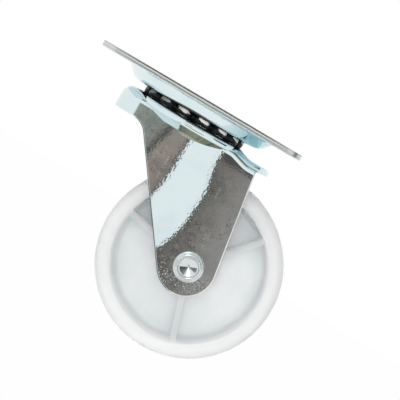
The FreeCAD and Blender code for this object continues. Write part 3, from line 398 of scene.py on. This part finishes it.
rivetMaterial = turnedSteel("coldHeadedRivetSteel", tuple(axleAt * mm))
wheelMaterial = mouldedPlastic("naturalPolypropyleneMoulded")
seamMaterial = mouldedPlastic("naturalPolypropyleneFlash", 0.0)  # too thin for light to scatter in
greaseShadeMaterial = greasedAndShadedSteel("raceGreaseAndShade", False)
finishes = {
    "plated_plate": zincPlatedSteel("zincPlatedPlateSheet", plateMasks),
    "plated_fork": zincPlatedSteel("zincPlatedForkSheet", forkMasks),
    "pin_steel": zincPlatedSteel("zincPlatedKingpin"),
    "race_steel": greasedAndShadedSteel("greasedPressedSteelCup", False),
    "rivet_steel": rivetMaterial,
    "bush_steel": turnedSteel("drawnTubeSteel", tuple(axleAt * mm)),
    "ball_steel": greasedAndShadedSteel("bearingBallsGreaseShadeAndGlints", True),
    "wheel_plastic": wheelMaterial,
}
for item in nodes.values():
    for slot in item.material_slots:
        slot.material = finishes[slot.material.name.split(".")[0]]
print("finishes set")


def gridPiece(name, rows, material, body, wrapRows=False, poles=()):
    # rows[j, k]: row j, column k, in millimetres. Columns close round; rows close too with wrapRows; a pole is
    # the point that closes a row, first row's before last row's
    count, around = rows.shape[:2]
    points = [rows.reshape(-1, 3)]
    j = np.arange(count if wrapRows else count - 1)[:, None]
    k = np.arange(around)[None, :]
    here, there = j * around, ((j + 1) % count) * around
    k2 = (k + 1) % around
    quads = np.stack([here + k, there + k, there + k2, here + k2], axis=-1).reshape(-1, 4)
    faces = quads.tolist()
    for number, point in enumerate(poles):
        points.append(np.array([point]))
        centre = count * around + number
        row = 0 if number == 0 else (count - 1) * around
        fan = np.stack([np.full(around, centre), row + k[0], row + k2[0]], axis=-1)
        faces += (fan if number == 0 else fan[:, ::-1]).tolist()
    mesh = bpy.data.meshes.new(name)
    mesh.from_pydata((np.concatenate(points) * mm).tolist(), [], faces)
    mesh.materials.append(material)
    mesh.polygons.foreach_set("use_smooth", np.ones(len(mesh.polygons), bool))
    mesh.update()
    item = bpy.data.objects.new(name, mesh)
    scene.collection.objects.link(item)
    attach(item, body)
    return item


# axle rivet: near end swaged over into two crests with a conical dimple, made head on the far side
rivetShape = {
    "legFace": 12.0, "shank": 3.0, "swage": 4.09, "height": 1.2, "coneMouth": 2.42, "coneDepth": 1.5,
    "rollOut": 2.50, "rollRise": 0.01, "innerCrest": (2.66, 3.50), "crestRise": 0.26, "groove": 0.10,
    "grooveWidth": 0.10,
    "headRadius": 4.6, "headHeight": 1.6, "headRound": 1.2, "headFlat": 1.6, "around": 144,
}


def rivetProfile():
    # (radius, height out of the near leg), from the dimple's tip out over the crests and down the swaged edge,
    # along the shank, and over the far head: cone straight, crests parabolas, outer edge an ellipse quarter
    s = rivetShape
    cone = np.linspace(0.06, 1.0, 14)
    coneR, coneH = cone * s["coneMouth"], s["height"] - s["coneDepth"] * (1 - cone)
    inner, outer = s["innerCrest"]
    crest = np.linspace(-1, 1, 17)
    crestR = (inner + outer) / 2 + crest * (outer - inner) / 2
    crestH = s["height"] - s["crestRise"] * crest ** 2
    crestFoot = s["height"] - s["crestRise"]
    turn = np.linspace(0, math.pi / 2, 16)
    start = outer + s["grooveWidth"]
    edgeR = start + (s["swage"] - start) * np.sin(turn) ** 0.9
    edgeH = crestFoot * np.cos(turn) ** 0.8
    farFace = -2 * s["legFace"]
    bend = np.linspace(0, math.pi / 2, 12)
    headR = s["headRadius"] - s["headRound"] * (1 - np.cos(bend))
    headH = farFace - s["headHeight"] + s["headRound"] * (1 - np.sin(bend))
    r = np.concatenate([coneR, [s["rollOut"], inner], crestR[1:-1],
                        [outer, outer + s["grooveWidth"] / 2], edgeR,
                        [s["shank"], s["shank"], s["headRadius"]], headR, [s["headFlat"]]])
    h = np.concatenate([coneH, [s["height"] + s["rollRise"], crestFoot - s["groove"]], crestH[1:-1],
                        [crestFoot, crestFoot - s["groove"]], edgeH,
                        [0.0, farFace, farFace], headH, [headH[-1]]])
    return r, h


radii, heights = rivetProfile()
angle = np.linspace(0, 2 * math.pi, rivetShape["around"], endpoint=False)
outOfLeg = np.repeat(-rivetShape["legFace"] - heights[:, None], len(angle), 1)
rivetRows = np.stack([axleAt[0] + radii[:, None] * np.cos(angle), outOfLeg,
                      axleAt[2] + radii[:, None] * np.sin(angle)], axis=-1)
tip = (axleAt[0], -rivetShape["legFace"] - rivetShape["height"] + rivetShape["coneDepth"], axleAt[2])
farEnd = (axleAt[0], -rivetShape["legFace"] - heights[-1], axleAt[2])
rivet = gridPiece("swagedAxleRivet", rivetRows, rivetMaterial, "fork", poles=(tip, farEnd))
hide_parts("axle_rivet")

# grease between the upper balls, dark as the shade of the narrow gap: a ring of superellipse section whose
# outer side bulges unevenly
greaseShadeRing = {"radius": 12.2, "height": -5.72, "halfWidth": 1.15, "halfHeight": 0.72, "square": 0.7,
               "bulges": ((0.10, 15, 0.6), (0.06, 37, 1.0)), "around": 240, "section": 24}


def greaseShadeRingRows():
    # x, y = (R + w cos^e t) (cos a, sin a), z = h + v sin^e t, and w swells by the bulges: share, count round
    # the ring, turn
    s = greaseShadeRing
    a = np.linspace(0, 2 * math.pi, s["around"], endpoint=False)[None, :]
    t = np.linspace(0, 2 * math.pi, s["section"], endpoint=False)[:, None]
    swell = 1 + sum(share * np.sin(count * a + turn) for share, count, turn in s["bulges"])
    across = np.sign(np.cos(t)) * np.abs(np.cos(t)) ** s["square"] * s["halfWidth"] * swell
    up = np.sign(np.sin(t)) * np.abs(np.sin(t)) ** s["square"] * s["halfHeight"] + 0 * a
    reach = s["radius"] + across
    return np.stack([reach * np.cos(a), reach * np.sin(a), s["height"] + up], axis=-1)


gridPiece("upperRaceGreaseAndShade", greaseShadeRingRows()[::-1], greaseShadeMaterial, "upper_ring", wrapRows=True)

# parting line of the mould, a low seam round the middle of the tread; its section is (rise, side) in shares
seamShape = {"tread": 25.0, "rise": 0.05, "halfWidth": 0.16, "around": 360,
             "section": [(-0.06, -1.0), (0.6, -0.5), (1.0, 0.0), (0.6, 0.5), (-0.06, 1.0), (-0.6, 0.0)]}


def seamRows():
    # x, z = axle + (R + rise share) (cos a, sin a), y = side share times the half width
    s = seamShape
    section = np.array(s["section"])
    reach = s["tread"] + section[:, :1] * s["rise"]
    a = np.linspace(0, 2 * math.pi, s["around"], endpoint=False)[None, :]
    return np.stack([axleAt[0] + reach * np.cos(a), section[:, 1:] * s["halfWidth"] + 0 * a,
                     axleAt[2] + reach * np.sin(a)], axis=-1)


gridPiece("treadPartingLine", seamRows(), seamMaterial, "wheel", wrapRows=True)
print("rivet, grease and parting line made")

stageCentre = Vector((0, 0, -0.03))


def direction(azimuth, elevation):
    # unit vector from the castor: azimuth 0 is toward the camera, positive toward the trailing wheel; degrees
    turn, rise = math.radians(azimuth), math.radians(elevation)
    return Vector((math.sin(turn) * math.cos(rise), -math.cos(turn) * math.cos(rise), math.sin(rise)))


def stagePiece(name, corners, faces, material):
    mesh = bpy.data.meshes.new(name)
    mesh.from_pydata(corners, [], faces)
    mesh.materials.append(material)
    item = bpy.data.objects.new(name, mesh)
    scene.collection.objects.link(item)
    return item


def seenDirectly(tree):
    # 1 for what the camera sees, itself or in a mirror, 0 for light that a dull surface gathers
    ray = addNode(tree, "LightPath").outputs
    mirrored = addNode(tree, "Math", {"operation": "MAXIMUM"},
                       {0: ray["Is Glossy Ray"], 1: ray["Is Transmission Ray"]})
    return addNode(tree, "Math", {"operation": "MAXIMUM"}, {0: ray["Is Camera Ray"], 1: mirrored})


# floor: pale paper far below; seen directly it is almost pure white, as the photo's ground
floorLook = {"below": 0.5, "size": 12.0, "paper": "#F4F4F2", "glow": 1.06, "glowShare": 0.9}
half = floorLook["size"] / 2
floorZ = -0.065 - floorLook["below"]
floorMaterial, tree, out = startMaterial("palePaper")
paper = addNode(tree, "BsdfDiffuse", None, {"Color": linear(floorLook["paper"])})
plain = addNode(tree, "Emission", None, {"Color": (1, 1, 1, 1), "Strength": floorLook["glow"]})
share = addNode(tree, "Math", multiply, {0: seenDirectly(tree), 1: floorLook["glowShare"]})
mixed = addNode(tree, "MixShader", None, {0: share, 1: paper, 2: plain})
tree.links.new(mixed.outputs[0], out.inputs["Surface"])
floorCorners = [(x * half, y * half, floorZ) for x, y in ((-1, -1), (1, -1), (1, 1), (-1, 1))]
stagePiece("studioFloor", floorCorners, [(0, 1, 2, 3)], floorMaterial)

# grey cards beside the camera that only mirror-like surfaces see: they are the legs' dark sides, and the white
# between their two borders is the bright band. Borders run from top to foot in (x, z) millimetres, and "at" is
# the cards' place along Y; a paper's colours run from low to high along X
cards = {
    "at": -600, "leftEnd": -130, "rightEnd": 75, "seam": 1.8,
    "left": [(-2.6, 30), (-2.6, 0), (-2.9, -30), (-3.6, -38), (-3.9, -49), (-4.8, -62), (-6.6, -75),
             (-12, -110), (-18, -160)],
    "right": [(17.6, 30), (17.6, 0), (17.5, -26), (17.3, -34), (19.1, -44), (20.5, -52), (21.0, -63),
              (20.9, -75), (18.7, -87), (14.8, -98), (6, -110), (-6, -120), (-30, -126), (-30, -160)],
    "leftPaper": {"low": -115, "high": 8, "lean": 0.263, "cloud": 7,
                  "stops": [(0.0, "#F4F4F0"), (0.30, "#D2D0C8"), (0.60, "#B5B4AB"), (0.68, "#99978F"),
                            (0.81, "#96938B"), (0.84, "#7C756F"), (0.852, "#4C4743"), (0.872, "#A2948C"),
                            (0.92, "#A6948B"), (1.0, "#978880")]},
    "rightPaper": {"low": 15, "high": 62, "cloud": 26, "darkAbove": -28,
                   "stops": [(0.0, "#776E69"), (0.28, "#837A74"), (0.52, "#978D88"), (0.75, "#A39A97"),
                             (1.0, "#B0958C")]},
    "seamPaper": {"low": -50, "high": 50, "cloud": 10, "stops": [(0, "#595452"), (1, "#625D5A")]},
    "under": "#5C5450", "underRise": (0.5, 4.0), "underSlope": 0.1, "underFray": 5 * mm,
    "clouds": 14 * mm, "drift": 16 * mm, "calm": 0.25, "specks": (0.40, 1.50),
}
# the low card shows where the fork looks down, under the crown's rim: brown, straw, olive and brown again
lowCard = {
    "paper": {"low": -200, "high": 200, "cloud": 70, "toothSize": 11,
              "stops": [(0, "#6E645C"), (0.40, "#7C7268"), (0.52, "#B0A48C"), (0.64, "#A0957A"),
                        (0.78, "#8C7C70"), (1, "#A8958A")]},
    "corners": [(-0.075, -0.42, -0.27), (0.24, -0.42, -0.27), (0.24, -0.28, -0.40), (-0.02, -0.28, -0.40)],
}
# two cards near the castor that the rivet's dimple alone sees, one for each lower side of its cone; their
# corners are (azimuth, elevation) from the dimple's mouth
dimpleCards = {
    "mouth": 12.6 * mm, "highAway": 120 * mm, "sideAway": 35 * mm,
    "highPaper": {"low": 50, "high": 125, "stops": [(0, "#9A9C9C"), (0.5, "#6E7072"), (1, "#505152")]},
    "sidePaper": {"low": 0, "high": 600, "stops": [(0, "#8C8E92"), (1, "#8C8E92")]},
    "high": [(8, 46), (44, 31), (54, 13), (78, 10), (86, 42), (4, 72)],
    "side": [(-68, -30), (-55, -30), (-54, 3), (-66, 3)],
}


def cardPaper(name, stops, low, high, lean=0.0, cloud=0.0, darkAbove=None, toothSize=1.9):
    # grey paper lit from the side: colour along X from low to high, in lines that lean, with clouds and a
    # coarse tooth; millimetres
    material, tree, out = startMaterial(name)
    place = addNode(tree, "TexCoord").outputs["Object"]
    x, y, z = addNode(tree, "SeparateXYZ", None, {"Vector": place}).outputs
    level = addNode(tree, "Math", multiplyAdd, {0: z, 1: -lean, 2: x})
    noise = addNode(tree, "TexNoise", None, {"Vector": place, "Scale": 1 / cards["clouds"], "Detail": 3.0})
    moved = addNode(tree, "Math", multiplyAdd, {0: noise, 1: cloud * mm, 2: level})
    share = addNode(tree, "MapRange", None,
                    {"Value": moved, "From Min": (low + cloud / 2) * mm, "From Max": (high + cloud / 2) * mm})
    paper = setStops(addNode(tree, "ValToRGB", None, {"Fac": share}), stops).outputs["Color"]
    if darkAbove is not None:
        # the strip right under the crown stays dark
        near, far = cards["underRise"]
        sloped = addNode(tree, "Math", multiplyAdd, {0: x, 1: cards["underSlope"], 2: z})
        frayed = addNode(tree, "Math", multiplyAdd, {0: noise, 1: cards["underFray"], 2: sloped})
        above = addNode(tree, "MapRange", smooth,
                        {"Value": frayed, "From Min": (darkAbove + near) * mm,
                         "From Max": (darkAbove + far) * mm})
        paper = addNode(tree, "Mix", mixColour, {0: above, 6: paper, 7: linear(cards["under"])})
    tooth = addNode(tree, "TexNoise", None, {"Vector": place, "Scale": 1 / (toothSize * mm), "Detail": 2.0})
    drift = addNode(tree, "TexNoise", None, {"Vector": place, "Scale": 1 / cards["drift"], "Detail": 1.0})
    rough = addNode(tree, "MapRange", None,
                    {"Value": drift, "From Min": 0.42, "From Max": 0.60, "To Min": cards["calm"],
                     "To Max": 1.0})
    dark, light = cards["specks"]
    specks = addNode(tree, "MapRange", None,
                     {"Value": tooth, "From Min": 0.32, "From Max": 0.68, "To Min": dark, "To Max": light})
    strength = addNode(tree, "Mix", mixValue, {0: rough, 2: 1.0, 3: specks})
    shader = addNode(tree, "Emission", None, {"Color": paper, "Strength": strength})
    tree.links.new(shader.outputs[0], out.inputs["Surface"])
    return material


def mirrorCard(name, corners, faces, material):
    card = stagePiece(name, corners, faces, material)
    card.visible_camera = card.visible_diffuse = card.visible_shadow = False


def borderCard(name, border, otherSide, away, material):
    # card between a border and a line with the same heights, whose x values are otherSide; millimetres
    points = [(x * mm, away * mm, z * mm) for x, z in border]
    points += [(x * mm, away * mm, z * mm) for x, (_, z) in zip(otherSide, border)]
    count = len(border)
    mirrorCard(name, points, [(k, k + 1, count + k + 1, count + k) for k in range(count - 1)], material)


def nearDimple(corners, away):
    dimple = Vector((axleAt * mm).tolist()) + Vector((0, -dimpleCards["mouth"], 0))
    return [tuple(dimple + direction(azimuth, elevation) * away) for azimuth, elevation in corners]


left, right, seam = cards["left"], cards["right"], cards["seam"]
leftPaper = cardPaper("cardPaperLeft", **cards["leftPaper"])
rightPaper = cardPaper("cardPaperRight", **cards["rightPaper"])
darkPaper = cardPaper("cardPaperDark", **cards["seamPaper"])
borderCard("cardLeft", left, [cards["leftEnd"]] * len(left), cards["at"], leftPaper)
borderCard("cardRight", right, [cards["rightEnd"]] * len(right), cards["at"], rightPaper)
borderCard("cardLeftSeam", left, [x - seam for x, z in left], cards["at"] + 1, darkPaper)
borderCard("cardRightSeam", right, [x + seam for x, z in right], cards["at"] + 1, darkPaper)
lowPaper = cardPaper("cardPaperLow", **lowCard["paper"])
mirrorCard("cardLow", lowCard["corners"], [(0, 1, 2, 3)], lowPaper)
highPaper = cardPaper("cardPaperHigh", **dimpleCards["highPaper"])
mirrorCard("cardHigh", nearDimple(dimpleCards["high"], dimpleCards["highAway"]),
           [(0, 1, 2, 3, 4, 5)], highPaper)
sidePaper = cardPaper("cardPaperSide", **dimpleCards["sidePaper"])
mirrorCard("cardSide", nearDimple(dimpleCards["side"], dimpleCards["sideAway"]), [(0, 1, 2, 3)], sidePaper)

# white surroundings: bright in mirrors, dimmer as the light they cast
worldLook = {"castLight": 0.38}
world = bpy.data.worlds.new("studioLight")
scene.world = world
world.use_nodes = True
tree = world.node_tree
tree.nodes.clear()
out = addNode(tree, "OutputWorld")
level = addNode(tree, "Mix", mixValue, {0: seenDirectly(tree), 2: worldLook["castLight"], 3: 1.0})
sky = addNode(tree, "Background", None, {"Color": (1, 1, 1, 1), "Strength": level})
tree.links.new(sky.outputs[0], out.inputs["Surface"])

# lamps: metres and watts; only the soft box shows in mirrors
lamps = {
    "softBox": {"azimuth": -46, "elevation": 50.8, "away": 1.3, "size": 0.62, "power": 3.0},
    "fill": {"azimuth": -0.8, "elevation": 3.5, "away": 1.6, "size": 0.40, "power": 15.0},
    "backFill": {"azimuth": 172, "elevation": 24, "away": 1.6, "size": 1.2, "power": 9.5},
}
for name, look in lamps.items():
    lamp = bpy.data.lights.new(name, "AREA")
    lamp.size = look["size"]
    lamp.energy = look["power"]
    item = bpy.data.objects.new(name, lamp)
    item.location = direction(look["azimuth"], look["elevation"]) * look["away"] + stageCentre
    item.rotation_euler = (stageCentre - item.location).to_track_quat("-Z", "Y").to_euler()
    item.visible_glossy = name == "softBox"
    item.visible_camera = False
    scene.collection.objects.link(item)

# camera: on the axle's side, rolled so that the castor leans as in the photo
view = {"azimuth": -0.845, "elevation": 3.536, "roll": 30.541, "distance": 0.4154, "target": (12.58, 0, -24.09),
        "lens": 139.65}
back = direction(view["azimuth"], view["elevation"])
right = (-back).cross(Vector((0, 0, 1))).normalized()
up = right.cross(-back)
roll = math.radians(view["roll"])
rolledRight = right * math.cos(roll) + up * math.sin(roll)
rolledUp = up * math.cos(roll) - right * math.sin(roll)
lens = bpy.data.cameras.new("camera")
lens.lens = view["lens"]
lens.clip_start, lens.clip_end = 0.01, 30
camera = bpy.data.objects.new("camera", lens)
scene.collection.objects.link(camera)
place = Vector(view["target"]) * mm + back * view["distance"]
camera.matrix_world = Matrix.Translation(place) @ Matrix((rolledRight, rolledUp, back)).transposed().to_4x4()
scene.camera = camera
scene.view_settings.view_transform = "Standard"
print("studio and camera set")
